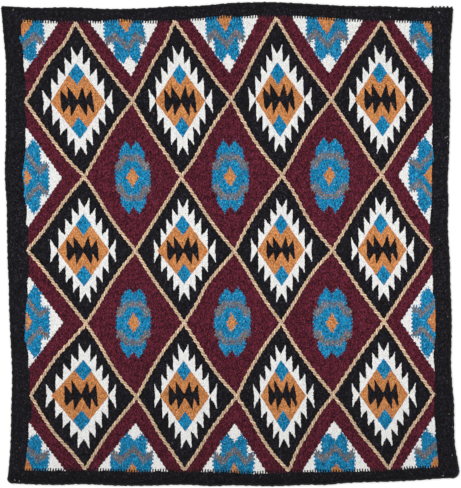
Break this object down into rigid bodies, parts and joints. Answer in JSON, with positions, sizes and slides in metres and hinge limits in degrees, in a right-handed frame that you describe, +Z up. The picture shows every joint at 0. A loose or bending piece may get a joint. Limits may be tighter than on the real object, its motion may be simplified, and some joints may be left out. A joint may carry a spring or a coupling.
{
  "type": "saddle blanket",
  "caption": "Woven wool saddle blanket with a lattice of outlined diamonds, a dark border, corded edges and whipped corners; folds in half along the spine.",
  "frame": {"origin": "centre of the blanket's bounding box, on the surface it lies on", "axes": "+X along the horse's spine (picture right), +Y across the spine to the far end (picture up), +Z up from the underside to the face"},
  "size_m": [0.8916, 0.946, 0.0077],
  "materials": {
    "black_wool": "matt woven wool, near black",
    "burgundy_wool": "matt woven wool, dark wine red",
    "tan_wool": "matt wrapped wool yarn, tan",
    "undyed_warp": "undyed wool warp, hidden by the weft",
    "edge_cord": "twisted wool cord, near black",
    "whipping_yarn": "plied wool yarn, near black",
    "underside_weft": "matt woven wool; the underside shows the same pattern as the face"
  },
  "bodies": {
    "near_half": {"corner_triangle_left_near": "burgundy_wool", "corner_triangle_right_near": "burgundy_wool", "corner_whipping_left_near": "whipping_yarn", "corner_whipping_right_near": "whipping_yarn", "end_border_near": "black_wool", "end_cord_near": "edge_cord", "end_triangle_near_1": "burgundy_wool", "end_triangle_near_2": "burgundy_wool", "end_triangle_near_3": "burgundy_wool", "eye_diamond_middle_near_1": "black_wool", "eye_diamond_middle_near_2": "black_wool", "eye_diamond_middle_near_3": "black_wool", "eye_diamond_middle_near_4": "black_wool", "eye_diamond_near_1": "black_wool", "eye_diamond_near_2": "black_wool", "eye_diamond_near_3": "black_wool", "eye_diamond_near_4": "black_wool", "medallion_diamond_near_1": "burgundy_wool", "medallion_diamond_near_2": "burgundy_wool", "medallion_diamond_near_3": "burgundy_wool", "outline_net_near": "tan_wool", "side_border_left_near": "black_wool", "side_border_right_near": "black_wool", "side_cord_left_near": "edge_cord", "side_cord_right_near": "edge_cord", "side_triangle_left_near": "burgundy_wool", "side_triangle_right_near": "burgundy_wool", "underside_weft_near": "underside_weft", "warp_sheet_near": "undyed_warp"},
    "far_half": {"corner_triangle_left_far": "burgundy_wool", "corner_triangle_right_far": "burgundy_wool", "corner_whipping_left_far": "whipping_yarn", "corner_whipping_right_far": "whipping_yarn", "end_border_far": "black_wool", "end_cord_far": "edge_cord", "end_triangle_far_1": "burgundy_wool", "end_triangle_far_2": "burgundy_wool", "end_triangle_far_3": "burgundy_wool", "eye_diamond_far_1": "black_wool", "eye_diamond_far_2": "black_wool", "eye_diamond_far_3": "black_wool", "eye_diamond_far_4": "black_wool", "eye_diamond_middle_far_1": "black_wool", "eye_diamond_middle_far_2": "black_wool", "eye_diamond_middle_far_3": "black_wool", "eye_diamond_middle_far_4": "black_wool", "medallion_diamond_far_1": "burgundy_wool", "medallion_diamond_far_2": "burgundy_wool", "medallion_diamond_far_3": "burgundy_wool", "outline_net_far": "tan_wool", "side_border_left_far": "black_wool", "side_border_right_far": "black_wool", "side_cord_left_far": "edge_cord", "side_cord_right_far": "edge_cord", "side_triangle_left_far": "burgundy_wool", "side_triangle_right_far": "burgundy_wool", "underside_weft_far": "underside_weft", "warp_sheet_far": "undyed_warp"}
  },
  "joints": [
    {"name": "spine_fold", "type": "hinge", "parent": "near_half", "child": "far_half", "pos_m": [0, -0.01113, 0.0092], "axis": [1, 0, 0], "range_deg": [0, 180]}
  ]
}
